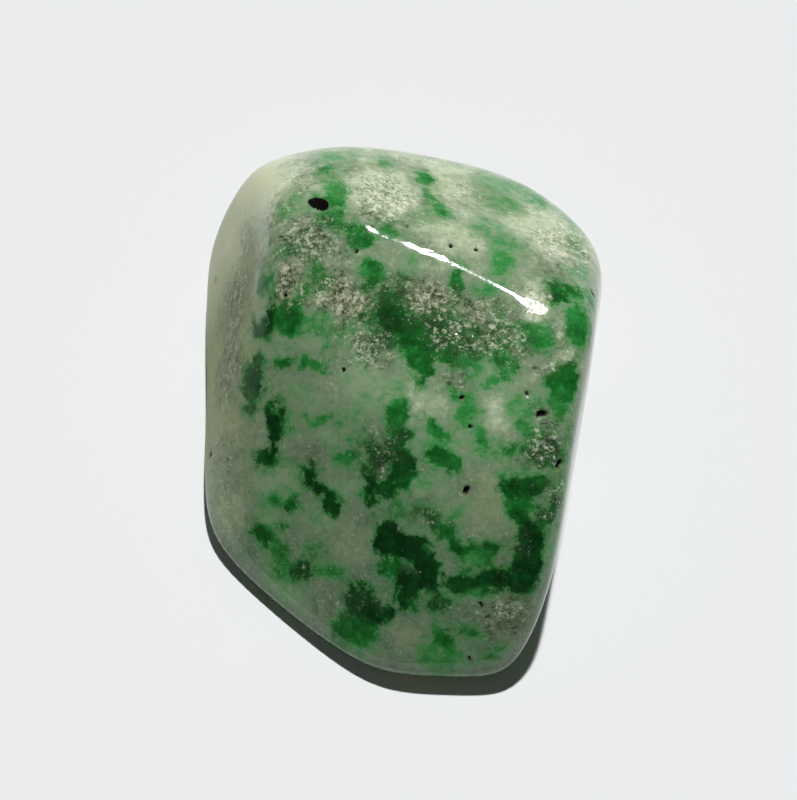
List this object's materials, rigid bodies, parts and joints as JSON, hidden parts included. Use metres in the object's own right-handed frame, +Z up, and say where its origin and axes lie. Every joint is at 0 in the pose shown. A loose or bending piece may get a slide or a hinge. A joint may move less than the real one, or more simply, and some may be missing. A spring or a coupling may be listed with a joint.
{
  "type": "tumbled stone",
  "caption": "Rounded, polished stone of mottled green and pale rock, blunt-wedge shaped, with a soft ridge, small natural pits and a flat resting spot.",
  "frame": {"origin": "middle of the stone's footprint, on the surface that it rests on", "axes": "+Z up from the resting spot; +Y along the stone's long way towards its high end, so its thin blunt nose points to -Y"},
  "size_m": [0.023, 0.0298, 0.0141],
  "materials": {
    "stone": "polished, with granular stretches"
  },
  "bodies": {
    "root": {"stone": "stone"}
  },
  "joints": []
}
